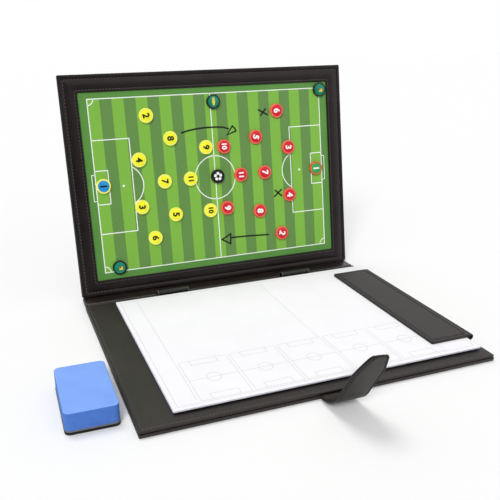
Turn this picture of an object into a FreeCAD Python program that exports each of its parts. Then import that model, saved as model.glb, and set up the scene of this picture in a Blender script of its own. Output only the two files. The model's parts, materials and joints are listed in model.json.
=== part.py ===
import FreeCAD, Part
import math
import os

# Folding tactics board: base, spine, cover, clip, pad, strap, tokens and eraser.
# All sizes are in mm. X runs right along the fold, Y runs back, Z runs up.
# The origin is the centre of the base's underside.

# Folder sizes
folder_width = 334.0
base_depth = 236.0
cover_overhang = 5.0
slab_thickness = 5.75
lower_layer = 3.0
skin_wall = 0.9
corner_radius = 2.5
edge_radius = 0.7
lining_inset = 0.4
lining_edge_radius = 1.0
groove_radius = 0.5

# How far a cutting shape runs past the face that it opens
overshoot = 1.0

# Fold sizes
spine_pitch = 15.3
spine_end_inset = 0.6
fold_clearance = 0.3
cover_lean_deg = 77.4

# Window and panel sizes
window_side_margin = 19.0
window_top_margin = 18.8
window_from_fold = 20.2
window_corner = 1.25
window_edge_radius = 0.5
panel_lap = 5.0
panel_clearance = 0.3
steel_thickness = 0.5
panel_thickness = 0.7

# Catch plate sizes
plate_length = 30.0
plate_width = 20.0
plate_thickness = 0.8

# Pad sizes: the margins leave room for an A4 pad, 297 by 210
pad_left_margin = 31.4
pad_right_margin = 5.6
pad_front_margin = 12.1
pad_back_margin = 13.9
backing_thickness = 0.7
sheets_thickness = 2.55
pad_clearance = 0.05

# Pen loop sizes
loop_length = 36.0
loop_width = 7.2
loop_height = 6.8
loop_wall = 0.6
loop_behind_pad = 3.2
loop_left_centre = -69.0
loop_right_centre = 83.5

# Clip sizes
roll_radius = 3.2
roll_bore = 1.7
roll_right_inset = 1.0
roll_clearance = 0.1
roll_bed = 0.1
roll_neck = 4.0
clip_reach = 44.5
clip_length = 173.5
clip_corner = 3.0
clip_skin = 0.8
clip_over_pad = 0.1

# Strap sizes
strap_centre = 0.4
strap_width = 28.8
strap_thickness = 2.4
strap_curl_radius = 27.0
strap_rise_deg = 63.0
strap_close_deg = 9.0
root_straight = 1.5
tongue_length = 53.0
tongue_taper = 23.0
tongue_tip_width = 15.5
tongue_tip_radius = 3.0
strap_clearance = 0.25
bend_relief = 2.0
magnet_radius = 7.0
magnet_thickness = 1.2
magnet_from_bend = 38.0

# Token sizes
token_diameter = 16.0
token_height = 3.0
token_chamfer = 0.45
token_rim = 1.6
token_recess = 0.25
token_magnet_diameter = 10.0
token_magnet_height = 1.5
token_gap = 0.05

# Eraser sizes
eraser_width = 43.2
eraser_length = 69.5
eraser_height = 19.3
felt_thickness = 2.2
felt_lip = 0.3
eraser_backing = 1.4
eraser_corner = 4.5
eraser_edge = 0.8
eraser_gap = 7.8
eraser_front = 22.1
eraser_turn_deg = -1.0

# Token places: name, share of the half window right of its middle, share of its height above its sill
token_places = [
    ("yellow_1", -0.882, 0.510),
    ("yellow_2", -0.514, 0.865),
    ("yellow_3", -0.608, 0.378),
    ("yellow_4", -0.597, 0.634),
    ("yellow_5", -0.348, 0.318),
    ("yellow_6", -0.526, 0.200),
    ("yellow_7", -0.414, 0.506),
    ("yellow_8", -0.342, 0.736),
    ("yellow_9", -0.064, 0.674),
    ("yellow_10", -0.064, 0.319),
    ("yellow_11", -0.207, 0.507),
    ("red_1", 0.875, 0.501),
    ("red_2", 0.539, 0.138),
    ("red_3", 0.633, 0.638),
    ("red_4", 0.626, 0.361),
    ("red_5", 0.355, 0.710),
    ("red_6", 0.547, 0.850),
    ("red_7", 0.416, 0.505),
    ("red_8", 0.355, 0.285),
    ("red_9", 0.078, 0.323),
    ("red_10", 0.084, 0.670),
    ("red_11", 0.211, 0.504),
    ("referee", 0.022, 0.919),
    ("linesman_right", 0.936, 0.955),
    ("linesman_left", -0.825, 0.060),
    ("ball", 0.015, 0.507),
]

# Sizes and places derived from the sizes above
cover_height = base_depth + cover_overhang
window_width = folder_width - 2.0 * window_side_margin
window_height = cover_height - window_from_fold - window_top_margin
pad_length = folder_width - pad_left_margin - pad_right_margin
pad_depth = base_depth - pad_front_margin - pad_back_margin
half_width = folder_width / 2.0
front_y = -base_depth / 2.0
fold_y = base_depth / 2.0
fold_z = slab_thickness / 2.0
fold_bore = fold_z + fold_clearance
cover_fold_y = fold_y + spine_pitch
pad_z = slab_thickness + pad_clearance
pad_top_z = pad_z + backing_thickness + sheets_thickness
pad_right_x = half_width - pad_right_margin
pad_front_y = front_y + pad_front_margin
pad_back_y = pad_front_y + pad_depth
panel_floor = lower_layer
panel_top = panel_floor + steel_thickness + panel_thickness

os.makedirs("parts", exist_ok=True)


def vec(x, y, z):
    return FreeCAD.Vector(x, y, z)


def block(x0, x1, y0, y1, z0, z1):
    return Part.makeBox(x1 - x0, y1 - y0, z1 - z0, vec(x0, y0, z0))


def runs_along(edge, axis):
    # True when a straight edge changes only along one axis.
    a = edge.Vertexes[0].Point
    b = edge.Vertexes[-1].Point
    d = b.sub(a)
    parts = [abs(d.x), abs(d.y), abs(d.z)]
    return len(edge.Vertexes) == 2 and parts[axis] > 1e-6 and sum(parts) - parts[axis] < 1e-6


def edges_at(shape, axis, level):
    # Edges whose whole length lies at one level of an axis.
    found = []
    for edge in shape.Edges:
        low = (edge.BoundBox.XMin, edge.BoundBox.YMin, edge.BoundBox.ZMin)[axis]
        high = (edge.BoundBox.XMax, edge.BoundBox.YMax, edge.BoundBox.ZMax)[axis]
        if abs(low - level) < 1e-3 and abs(high - level) < 1e-3:
            found.append(edge)
    return found


def soft_block(x0, x1, y0, y1, z0, z1, corner, top, bottom):
    # A panel with rounded plan corners and rounded upper and lower edges.
    shape = block(x0, x1, y0, y1, z0, z1)
    shape = shape.makeFillet(corner, [e for e in shape.Edges if runs_along(e, 2)])
    if top > 0.0:
        shape = shape.makeFillet(top, edges_at(shape, 2, z1))
    if bottom > 0.0:
        shape = shape.makeFillet(bottom, edges_at(shape, 2, z0))
    return shape


def rod_x(y, z, radius, x0, x1):
    return Part.makeCylinder(radius, x1 - x0, vec(x0, y, z), vec(1, 0, 0))


def stadium_x(y0, y1, z, radius, x0, x1):
    # A bar along X with two round edges.
    a = vec(x0, y0, z - radius)
    b = vec(x0, y1, z - radius)
    c = vec(x0, y1, z + radius)
    d = vec(x0, y0, z + radius)
    outline = Part.Wire([
        Part.makeLine(a, b),
        Part.Arc(b, vec(x0, y1 + radius, z), c).toShape(),
        Part.makeLine(c, d),
        Part.Arc(d, vec(x0, y0 - radius, z), a).toShape(),
    ])
    return Part.Face(outline).extrude(vec(x1 - x0, 0, 0))


def save(name, *solids):
    shape = solids[0] if len(solids) == 1 else Part.makeCompound(list(solids))
    shape.exportStep("parts/" + name + ".step")


def fold_knuckle(y):
    # The room that a spine's round edge needs in the edge of the panel beside it.
    return rod_x(y, fold_z, fold_bore, -half_width - overshoot, half_width + overshoot)


def wrapped_board(far_y, near_y):
    # A board in a tray of leatherette. near_y is the fold side, far_y the free edge.
    towards = 1.0 if far_y > near_y else -1.0
    inner_near = near_y + towards * (fold_bore + skin_wall)
    inner_far = far_y - towards * skin_wall
    low_y, high_y = sorted((far_y, near_y))
    tray = soft_block(
        -half_width, half_width, low_y, high_y, 0.0, lower_layer,
        corner_radius, groove_radius, edge_radius
    )
    tray = tray.cut(fold_knuckle(near_y))
    low_y, high_y = sorted((inner_near, inner_far))
    side = half_width - skin_wall
    inner_corner = corner_radius - skin_wall
    board = soft_block(-side, side, low_y, high_y, skin_wall, lower_layer, inner_corner, 0.0, 0.0)
    return tray.cut(board), board


def lining_panel(far_y, near_y):
    # A padded panel that lies on a wrapped board and stops at the fold.
    towards = 1.0 if far_y > near_y else -1.0
    low_y, high_y = sorted((near_y + towards * fold_bore, far_y - towards * lining_inset))
    side = half_width - lining_inset
    return soft_block(
        -side, side, low_y, high_y, lower_layer, slab_thickness,
        corner_radius, lining_edge_radius, groove_radius
    )


# Base
base_skin, base_board = wrapped_board(front_y, fold_y)
base_lining = lining_panel(front_y, fold_y)

# Clip roll bedded in the base lining
roll_x = half_width - roll_right_inset
roll_z = slab_thickness + roll_radius - roll_bed
clip_y0 = (pad_front_y + pad_back_y - clip_length) / 2.0
clip_y1 = clip_y0 + clip_length
roll_bed_cut = Part.makeCylinder(
    roll_radius + roll_clearance, clip_length + 2.0 * roll_clearance,
    vec(roll_x, clip_y0 - roll_clearance, roll_z), vec(0, 1, 0)
)
base_lining = base_lining.cut(roll_bed_cut)
save("base_outer_skin", base_skin)
save("base_board", base_board)
save("base_lining", base_lining)


def pen_loop(centre_x):
    # An elastic band sewn down along both sides, open at both ends.
    def arch(width, height):
        half = width / 2.0
        y = pad_back_y + loop_behind_pad + loop_width / 2.0
        shoulder = slab_thickness + height - half
        a = vec(0, y - half, slab_thickness)
        b = vec(0, y + half, slab_thickness)
        c = vec(0, y + half, shoulder)
        d = vec(0, y - half, shoulder)
        outline = Part.Wire([
            Part.makeLine(a, b),
            Part.makeLine(b, c),
            Part.Arc(c, vec(0, y, shoulder + half), d).toShape(),
            Part.makeLine(d, a),
        ])
        return Part.Face(outline)

    outer = arch(loop_width, loop_height).extrude(vec(loop_length, 0, 0))
    room = arch(loop_width - 2.0 * loop_wall, loop_height - 2.0 * loop_wall)
    inner = room.extrude(vec(loop_length + 2.0 * overshoot, 0, 0))
    inner.translate(vec(-overshoot, 0, loop_wall))
    band = outer.cut(inner)
    band.translate(vec(centre_x - loop_length / 2.0, 0, 0))
    return band


save("pen_loop_left", pen_loop(loop_left_centre))
save("pen_loop_right", pen_loop(loop_right_centre))

# Spine: a flat bar with two round edges that turn in the base's and the cover's edges
spine_x = half_width - spine_end_inset
spine_bar = stadium_x(fold_y, cover_fold_y, fold_z, fold_z, -spine_x, spine_x)
core_x = spine_x - skin_wall
spine_core = stadium_x(fold_y, cover_fold_y, fold_z, fold_z - skin_wall, -core_x, core_x)
save("spine_skin", spine_bar.cut(spine_core))
save("spine_board", spine_core)

# Cover, drawn lying flat behind the spine and then swung up about its fold line
cover_far_y = cover_fold_y + cover_height
cover_skin, cover_board = wrapped_board(cover_far_y, cover_fold_y)
frame = lining_panel(cover_far_y, cover_fold_y)
window_y0 = cover_fold_y + window_from_fold
window_y1 = window_y0 + window_height
half_window = window_width / 2.0
window = block(-half_window, half_window, window_y0, window_y1, 0.0, slab_thickness + overshoot)
window = window.makeFillet(window_corner, [e for e in window.Edges if runs_along(e, 2)])
frame = frame.cut(window)
inner_top = [
    e for e in edges_at(frame, 2, slab_thickness)
    if e.BoundBox.XMin > -half_window - overshoot and e.BoundBox.XMax < half_window + overshoot
    and e.BoundBox.YMin > window_y0 - overshoot and e.BoundBox.YMax < window_y1 + overshoot
]
frame = frame.makeFillet(window_edge_radius, inner_top)
lap = panel_lap + panel_clearance
rabbet = block(
    -half_window - lap, half_window + lap, window_y0 - lap, window_y1 + lap, lower_layer, panel_top
)
frame = frame.cut(rabbet)
steel = block(
    -half_window - panel_lap, half_window + panel_lap, window_y0 - panel_lap, window_y1 + panel_lap,
    panel_floor, panel_floor + steel_thickness
)
panel = block(
    -half_window - panel_lap, half_window + panel_lap, window_y0 - panel_lap, window_y1 + panel_lap,
    panel_floor + steel_thickness, panel_top
)

# Strap: a bead in the base's front seam, a curl that rises from it and a straight tongue
strap_half = strap_thickness / 2.0
bead_y = front_y - strap_half - strap_clearance
bead_z = lower_layer
curl_z = bead_z + strap_curl_radius
rise = math.radians(strap_rise_deg)
along_y = -math.cos(rise)
along_z = math.sin(rise)
rise_y = bead_y - strap_curl_radius * math.sin(rise)
rise_z = curl_z - strap_curl_radius * math.cos(rise)
bend_y = rise_y + along_y * root_straight
bend_z = rise_z + along_z * root_straight

# The closed strap's magnet rests over this place in the cover
reach_to_bend = math.hypot(bend_y - bead_y, bend_z - bead_z)
closed_bend_angle = math.atan2(bend_z - bead_z, bend_y - bead_y) - math.radians(strap_close_deg)
closed_bend_y = bead_y + reach_to_bend * math.cos(closed_bend_angle)
catch_from_fold = fold_y - (closed_bend_y + magnet_from_bend)
plate_y = cover_fold_y + catch_from_fold
plate = block(
    strap_centre - plate_length / 2.0, strap_centre + plate_length / 2.0,
    plate_y - plate_width / 2.0, plate_y + plate_width / 2.0, skin_wall, skin_wall + plate_thickness
)
cover_board = cover_board.cut(plate)


def swing_cover(shape):
    # Turns a flat cover piece up to the angle that it stands at.
    turned = shape.copy()
    turned.rotate(vec(0, cover_fold_y, fold_z), vec(1, 0, 0), cover_lean_deg)
    return turned


save("cover_outer_skin", swing_cover(cover_skin))
save("cover_board", swing_cover(cover_board))
save("catch_plate", swing_cover(plate))
save("steel_sheet", swing_cover(steel))
save("pitch_panel", swing_cover(panel))
save("window_frame", swing_cover(frame))

# Tokens: a moulded cap with a label recess on top and a disc magnet below
token_radius = token_diameter / 2.0
token_z = panel_top + token_gap
for token_name, right_share, up_share in token_places:
    place = vec(right_share * half_window, window_y0 + up_share * window_height, token_z)
    cap = Part.makeCylinder(token_radius, token_height, place)
    cap = cap.makeChamfer(token_chamfer, edges_at(cap, 2, token_z + token_height))
    recess_z = token_z + token_height - token_recess
    recess_place = vec(place.x, place.y, recess_z)
    recess = Part.makeCylinder(token_radius - token_rim, token_recess + overshoot, recess_place)
    magnet = Part.makeCylinder(token_magnet_diameter / 2.0, token_magnet_height, place)
    cap = cap.cut(recess).cut(magnet)
    save("token_" + token_name, swing_cover(cap), swing_cover(magnet))

# Pad
pad_x0 = pad_right_x - pad_length
backing_top = pad_z + backing_thickness
save("notepad_backing", block(pad_x0, pad_right_x, pad_front_y, pad_back_y, pad_z, backing_top))
save("notepad_sheets", block(pad_x0, pad_right_x, pad_front_y, pad_back_y, backing_top, pad_top_z))

# Clip flap: a stiffened plate over the pad, sewn to the neck of a rolled hinge edge
flap_z0 = pad_top_z + clip_over_pad
flap_z1 = roll_z + roll_radius
flap_x0 = roll_x - clip_reach
flap_x1 = roll_x - roll_neck
flap = block(flap_x0, flap_x1, clip_y0, clip_y1, flap_z0, flap_z1)
flap_corners = [e for e in flap.Edges if runs_along(e, 2) and e.BoundBox.XMax < flap_x1 - clip_corner]
flap = flap.makeFillet(clip_corner, flap_corners)
stiffener = block(
    flap_x0 + clip_corner, flap_x1 - clip_skin, clip_y0 + clip_corner, clip_y1 - clip_corner,
    flap_z0 + clip_skin, flap_z1 - clip_skin
)
save("clip_flap_skin", flap.cut(stiffener))
save("clip_stiffener", stiffener)
neck = block(flap_x1, roll_x, clip_y0, clip_y1, flap_z0, flap_z1)
roll = Part.makeCylinder(roll_radius, clip_length, vec(roll_x, clip_y0, roll_z), vec(0, 1, 0))
roll = roll.fuse(neck).removeSplitter()
bore_start = vec(roll_x, clip_y0 - overshoot, roll_z)
bore = Part.makeCylinder(roll_bore, clip_length + 2.0 * overshoot, bore_start, vec(0, 1, 0))
save("clip_roll", roll.cut(bore))

# Strap root, drawn as its section in the YZ plane and run across the strap's width
strap_x0 = strap_centre - strap_width / 2.0
strap_x1 = strap_centre + strap_width / 2.0


def offset_point(y, z, dir_y, dir_z, side):
    # A point half a strap's thickness to one side of the middle line.
    return vec(strap_x0, y - dir_z * side * strap_half, z + dir_y * side * strap_half)


def curl_point(turn, side):
    # A point on one face of the curl, turn measured from its lowest line.
    radius = strap_curl_radius + side * strap_half
    return vec(strap_x0, bead_y - radius * math.sin(turn), curl_z - radius * math.cos(turn))


end_outer = offset_point(bend_y, bend_z, along_y, along_z, 1.0)
end_inner = offset_point(bend_y, bend_z, along_y, along_z, -1.0)
root_outline = Part.Wire([
    Part.Arc(curl_point(0.0, 1.0), curl_point(rise / 2.0, 1.0), curl_point(rise, 1.0)).toShape(),
    Part.makeLine(curl_point(rise, 1.0), end_outer),
    Part.makeLine(end_outer, end_inner),
    Part.makeLine(end_inner, curl_point(rise, -1.0)),
    Part.Arc(curl_point(rise, -1.0), curl_point(rise / 2.0, -1.0), curl_point(0.0, -1.0)).toShape(),
    Part.makeLine(curl_point(0.0, -1.0), curl_point(0.0, 1.0)),
])
across = vec(strap_width, 0, 0)
root = Part.Face(root_outline).extrude(across)
bead = rod_x(bead_y, bead_z, strap_half, strap_x0, strap_x1)
root = root.fuse(bead).removeSplitter()

# The root's end makes room for the tongue's round edge, and stops short on the side it folds to
bend_bore = strap_half + strap_clearance
cut_x0 = strap_x0 - overshoot
cut_x1 = strap_x1 + overshoot
root = root.cut(rod_x(bend_y, bend_z, bend_bore, cut_x0, cut_x1))
relief = block(cut_x0, cut_x1, 0.0, strap_half + overshoot, -bend_relief, strap_half)
relief.rotate(vec(0, 0, 0), vec(1, 0, 0), 90.0 - strap_rise_deg)
relief.translate(vec(0, bend_y, bend_z))
root = root.cut(relief)
save("strap_root", root)

# Strap tongue, drawn flat in its own plane and then raised to the strap's slope
half_strap = strap_width / 2.0
half_tip = tongue_tip_width / 2.0
shoulder = tongue_length - tongue_taper
corners = [
    vec(-half_strap, 0, -strap_half),
    vec(half_strap, 0, -strap_half),
    vec(half_strap, shoulder, -strap_half),
    vec(half_tip, tongue_length, -strap_half),
    vec(-half_tip, tongue_length, -strap_half),
    vec(-half_strap, shoulder, -strap_half),
]
tongue = Part.Face(Part.makePolygon(corners + [corners[0]])).extrude(vec(0, 0, strap_thickness))
tip_edges = [e for e in tongue.Edges if runs_along(e, 2) and e.BoundBox.YMin > tongue_tip_radius]
tongue = tongue.makeFillet(tongue_tip_radius, tip_edges)
tongue = tongue.fuse(rod_x(0.0, 0.0, strap_half, -half_strap, half_strap)).removeSplitter()
magnet_place = vec(0, magnet_from_bend, -magnet_thickness / 2.0)
magnet = Part.makeCylinder(magnet_radius, magnet_thickness, magnet_place)
tongue = tongue.cut(magnet)
for name, shape in (("strap_tongue", tongue), ("strap_magnet", magnet)):
    shape.rotate(vec(0, 0, 0), vec(1, 0, 0), 180.0 - strap_rise_deg)
    shape.translate(vec(strap_centre, bend_y, bend_z))
    save(name, shape)

# Eraser
eraser_x1 = -half_width - eraser_gap
eraser_x0 = eraser_x1 - eraser_width
eraser_y0 = front_y + eraser_front
eraser_y1 = eraser_y0 + eraser_length
eraser_middle = vec((eraser_x0 + eraser_x1) / 2.0, (eraser_y0 + eraser_y1) / 2.0, 0)
foam_z = felt_thickness + eraser_backing
foam = soft_block(
    eraser_x0, eraser_x1, eraser_y0, eraser_y1,
    foam_z, eraser_height, eraser_corner, eraser_edge, 0.0
)
backing = soft_block(
    eraser_x0, eraser_x1, eraser_y0, eraser_y1, felt_thickness, foam_z, eraser_corner, 0.0, 0.0
)
felt = soft_block(
    eraser_x0 - felt_lip, eraser_x1 + felt_lip, eraser_y0 - felt_lip, eraser_y1 + felt_lip,
    0.0, felt_thickness, eraser_corner + felt_lip, 0.0, 0.0
)
for name, shape in (("eraser_foam", foam), ("eraser_backing", backing), ("eraser_felt", felt)):
    shape.rotate(eraser_middle, vec(0, 0, 1), eraser_turn_deg)
    save(name, shape)
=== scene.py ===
import json
import math
import bmesh
import bpy
from mathutils import Matrix, Vector


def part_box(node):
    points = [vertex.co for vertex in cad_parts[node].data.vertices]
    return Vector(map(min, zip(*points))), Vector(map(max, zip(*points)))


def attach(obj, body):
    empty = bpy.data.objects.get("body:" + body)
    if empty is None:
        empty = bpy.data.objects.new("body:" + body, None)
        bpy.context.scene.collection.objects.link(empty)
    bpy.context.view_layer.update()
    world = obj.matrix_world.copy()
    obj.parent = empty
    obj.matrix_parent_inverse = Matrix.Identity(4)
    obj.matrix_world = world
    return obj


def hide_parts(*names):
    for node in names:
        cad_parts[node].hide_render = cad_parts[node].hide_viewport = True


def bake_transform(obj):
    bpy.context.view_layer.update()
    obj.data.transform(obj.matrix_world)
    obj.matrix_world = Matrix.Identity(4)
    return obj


# Folding tactics board in black leatherette, with its pad, tokens, strap and eraser.
# Points are written in mm in the part's own frame, or flat on the cover before it is laid in place.

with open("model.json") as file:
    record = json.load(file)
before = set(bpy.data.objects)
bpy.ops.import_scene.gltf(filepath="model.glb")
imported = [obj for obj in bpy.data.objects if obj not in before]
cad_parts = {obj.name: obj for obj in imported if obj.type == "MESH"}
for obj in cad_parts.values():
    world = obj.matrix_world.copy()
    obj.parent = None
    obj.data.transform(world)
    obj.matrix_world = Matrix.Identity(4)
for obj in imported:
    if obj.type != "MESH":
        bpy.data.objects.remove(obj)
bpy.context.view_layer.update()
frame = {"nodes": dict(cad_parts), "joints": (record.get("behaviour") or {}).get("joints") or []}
nodes = frame["nodes"]
joints = {joint["name"]: joint for joint in frame["joints"]}
tokens = [name for name in nodes if name.startswith("token_")]
to_mm = 1000.0
to_metres = 0.001


def joint_point(name):
    # Where a joint's axis passes, in mm.
    return Vector(joints[name]["pos_m"]) * to_mm


def box_mm(node):
    # The lowest and highest corner of a solid at rest, in mm.
    low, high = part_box(node)
    return low * to_mm, high * to_mm


def add_object(name, data):
    # An object in the scene that holds a mesh, a text, a lamp or a camera.
    made = bpy.data.objects.new(name, data)
    bpy.context.scene.collection.objects.link(made)
    return made


# On the cover, x runs right, y runs up from the fold line and z runs forward from its back face
base_fold = joint_point("spine_fold")
cover_fold = joint_point("board_fold")
cover_lean = math.radians(-joints["board_fold"]["range_deg"][0])
on_table = Matrix.Identity(4)
on_cover = Matrix.Translation(cover_fold)
on_cover = on_cover @ Matrix.Rotation(cover_lean, 4, "X")
on_cover = on_cover @ Matrix.Translation((0.0, 0.0, -cover_fold.z))

# Camera, fitted to the corners of the folder, the pad and the window, with its turns in radians
camera_heading = -0.327
camera_tilt = 1.173
camera_roll = -0.011
camera_data = bpy.data.cameras.new("camera")
camera = add_object("camera", camera_data)
bpy.context.scene.camera = camera
camera_data.sensor_width = 36.0
camera_data.lens = 43.626
camera_data.shift_x = 0.1153
camera_data.shift_y = 0.0466
camera_data.clip_start = 0.01
camera.location = (-0.246922, -0.482637, 0.290684)
camera_turn = Matrix.Rotation(camera_heading, 3, "Z") @ Matrix.Rotation(camera_tilt, 3, "X")
camera_turn = camera_turn @ Matrix.Rotation(camera_roll, 3, "Z")
camera.rotation_euler = camera_turn.to_euler()
bpy.context.scene.view_settings.view_transform = "Standard"


# Finishes

def lin(colour):
    # An sRGB hex colour as linear values, with full alpha.
    values = []
    for start in (1, 3, 5):
        share = int(colour[start:start + 2], 16) / 255.0
        values.append(share / 12.92 if share <= 0.04045 else ((share + 0.055) / 1.055) ** 2.4)
    return (*values, 1.0)


def add_node(tree, kind, settings=None, inputs=None):
    # One node with its settings, its values and its links. A ramp is a list of places and colours.
    # Inputs go by name, or by number where names repeat: a mix has its factor at 0, its two numbers at 2 and
    # 3 and its two colours at 6 and 7, and gives the mixed colour at output 2.
    node = tree.nodes.new(kind)
    for name, value in (settings or {}).items():
        if name == "color_ramp":
            for element, (place, colour) in zip(node.color_ramp.elements, value):
                element.position = place
                element.color = lin(colour)
        else:
            setattr(node, name, value)
    for name, value in (inputs or {}).items():
        if isinstance(value, bpy.types.NodeSocket):
            tree.links.new(value, node.inputs[name])
        else:
            node.inputs[name].default_value = value
    return node


# At scale 1 a wave texture repeats every 314 mm, and the others have one cell or speck in 1000 mm
voronoi = "ShaderNodeTexVoronoi"
noise = "ShaderNodeTexNoise"
wave = "ShaderNodeTexWave"
maths = "ShaderNodeMath"
wave_repeat = 314.0
cell_repeat = 1000.0


def surface(name, tones, cloud, rough, grain, size, depth, extras=None):
    # Two close tones in soft clouds, a roughness that follows them, and a fine grain in relief.
    # cloud is the clouds' size in mm, size the grain's and depth its relief.
    made = bpy.data.materials.new(name)
    made.use_nodes = True
    tree = made.node_tree
    shader = tree.nodes["Principled BSDF"]
    for socket, value in (extras or {}).items():
        shader.inputs[socket].default_value = value
    where = add_node(tree, "ShaderNodeTexCoord").outputs["Object"]
    clouds = add_node(tree, noise, {}, {"Vector": where, "Scale": cell_repeat / cloud, "Detail": 3.0})
    shade = clouds.outputs[0]
    ramp = [(0.36, tones[0]), (0.64, tones[1])]
    colour = add_node(tree, "ShaderNodeValToRGB", {"color_ramp": ramp}, {"Fac": shade})
    dull = add_node(tree, "ShaderNodeMapRange", {}, {"Value": shade, "To Min": rough[0], "To Max": rough[1]})
    repeat = wave_repeat if grain == wave else cell_repeat
    relief = add_node(tree, grain, {}, {"Vector": where, "Scale": repeat / size})
    bump = add_node(tree, "ShaderNodeBump", {}, {
        "Height": relief.outputs[0], "Distance": depth * to_metres
    })
    tree.links.new(colour.outputs["Color"], shader.inputs["Base Color"])
    tree.links.new(dull.outputs["Result"], shader.inputs["Roughness"])
    tree.links.new(bump.outputs["Normal"], shader.inputs["Normal"])
    return made


# Leatherette: cloth coated with black polyurethane and pressed with a fine pebble grain. The coat is satin,
# so it takes a soft grey where it mirrors the bright side of the room and stays near black elsewhere.
# The grain is 0.8 mm in life and is drawn at 1.3 mm, so that it shows at this distance.
leatherette = surface(
    "pressed_leatherette", ("#16100E", "#1C1513"), 22.0, (0.34, 0.43), voronoi, 1.3, 0.06,
    {"Specular IOR Level": 0.41}
)

# The same coat on the lining and the clip, duller, and painted a little greyer as a lit copy for the sheen
# that these level faces take from above.
level_faces_lit_leatherette = surface(
    "level_faces_lit_leatherette", ("#1B1513", "#221B18"), 18.0, (0.50, 0.60), voronoi, 1.3, 0.06,
    {"Specular IOR Level": 0.50}
)

# The same coat, folded over an edge and drawn tight, so it is smoother and catches more light; its tone is
# also painted a little lighter as a lit copy for that light.
drawn_lit_leatherette = surface(
    "drawn_leatherette_painted_lighter", ("#1C1513", "#241C19"), 14.0, (0.32, 0.42), voronoi, 1.1, 0.03,
    {"Specular IOR Level": 0.45}
)

# A thinner, softer coat for what has to bend, so it is duller and shows more of its grain.
supple_leatherette = surface(
    "supple_leatherette", ("#18110F", "#201815"), 12.0, (0.44, 0.56), voronoi, 1.2, 0.08,
    {"Specular IOR Level": 0.34}
)

# Polyester sewing thread: two plies twisted, so each stitch is a small bead with slanted ribs. The thread is
# black; this dull grey, a little paler than the coat, is a painted highlight for the glint on its beads.
thread = surface("twisted_thread_painted_grey_glint", ("#4C4847", "#5B5654"), 3.0, (0.4, 0.55), wave, 0.7, 0.06)

# The same thread in its own black, for the strap and the clip, where it reads as a dark line on the grey
# sheen.
black_thread = surface("twisted_black_thread", ("#0E0C0B", "#161312"), 3.0, (0.5, 0.65), wave, 0.7, 0.06)

# Woven elastic: rubber cores under black yarn, with ribs across the band. It is nearly black, with a soft
# shine along its top. Its open ends get a greyer rim, a painted highlight for the light they catch.
elastic = surface(
    "woven_elastic", ("#0C0B0B", "#131211"), 6.0, (0.34, 0.44), wave, 1.2, 0.06,
    {"Specular IOR Level": 0.5}
)
rim_highlight_elastic = surface("elastic_painted_rim_highlight", ("#444240", "#54514F"), 3.0, (0.35, 0.45), noise, 0.8, 0.03)

# Greyboard: pressed waste paper, flecked and quite matt.
greyboard = surface("pressed_greyboard", ("#8F8A82", "#A39D94"), 4.0, (0.85, 0.95), noise, 0.8, 0.05)

# Zinc-plated sheet: rolled steel with a thin bright coat, faintly clouded.
zinc_sheet = surface(
    "zinc_plated_sheet", ("#A9ABAD", "#BFC1C3"), 12.0, (0.3, 0.42), noise, 0.9, 0.02, {"Metallic": 1.0}
)

# Ferrite: a fired ceramic magnet, dark grey with a dry, slightly open face.
ferrite = surface("fired_ferrite", ("#2B2A2A", "#3A3939"), 3.0, (0.6, 0.75), noise, 0.5, 0.03)

# Offset paper: bleached and brightened, so a faintly bluish white, uncoated and matt, with a soft fibre
# cloud.
paper = surface(
    "uncoated_paper", ("#F7F5FA", "#F9F7FC"), 30.0, (0.85, 0.95), noise, 0.7, 0.01,
    {"Specular IOR Level": 0.2}
)

# The cut edges of the sheets: the same paper in fine layers, greyer from the shade between them.
# The layers are 0.1 mm in life and are drawn at 0.5 mm.
paper_edges = surface("cut_paper_edges", ("#D0D3E4", "#E4E6F2"), 5.0, (0.85, 0.95), wave, 0.5, 0.08)

# Pad board: a card glued under the sheets, painted black as the shadow that shows as a dark line under their
# edges.
shadow_black_card = surface("backing_card_painted_shadow", ("#161514", "#201E1D"), 5.0, (0.7, 0.85), noise, 0.7, 0.04)

# Closed-cell foam: polyethylene blown into tiny cells and cut with a hot wire, so it is matt, a little
# velvety and dotted with open cells. The top is painted paler for the light and sheen it takes from above,
# and the sides are painted deeper as shade. The cells are 0.3 mm in life and are drawn at 0.9 mm.
foam_lit_top = surface("closed_cell_foam_lit_top", ("#7AA4F4", "#80A9F8"), 16.0, (0.44, 0.54), voronoi, 0.9, 0.02)
foam_shaded_sides = surface("closed_cell_foam_shaded_sides", ("#426FBF", "#4775C7"), 5.0, (0.7, 0.85), voronoi, 0.9, 0.07)
grey_foam = surface("thin_grey_foam", ("#64656A", "#727377"), 4.0, (0.8, 0.9), voronoi, 0.8, 0.06)

# Pressed felt: matted wool fibres, which scatter light and look furry at the edge.
felt = surface(
    "pressed_felt", ("#0D0D0E", "#161617"), 2.5, (0.9, 1.0), noise, 0.6, 0.2, {"Sheen Weight": 0.1}
)


def moulded_cap(name, dark, light):
    # Injection-moulded ABS from a polished tool: glossy, with a faint flow mark in the tone.
    return surface(name, (dark, light), 7.0, (0.2, 0.3), noise, 2.0, 0.01)


def printed_disc(name, dark, light):
    # Vinyl disc printed and laminated: a flat even colour under a clear film, a little duller than the cap.
    return surface(name, (dark, light), 5.0, (0.28, 0.36), noise, 0.8, 0.01)


def printed_ink(name, dark, light):
    # Screen ink: opaque pigment in a thin even film that dries a little duller than what it is on.
    return surface(name, (dark, light), 4.0, (0.4, 0.5), noise, 0.6, 0.01)


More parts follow.
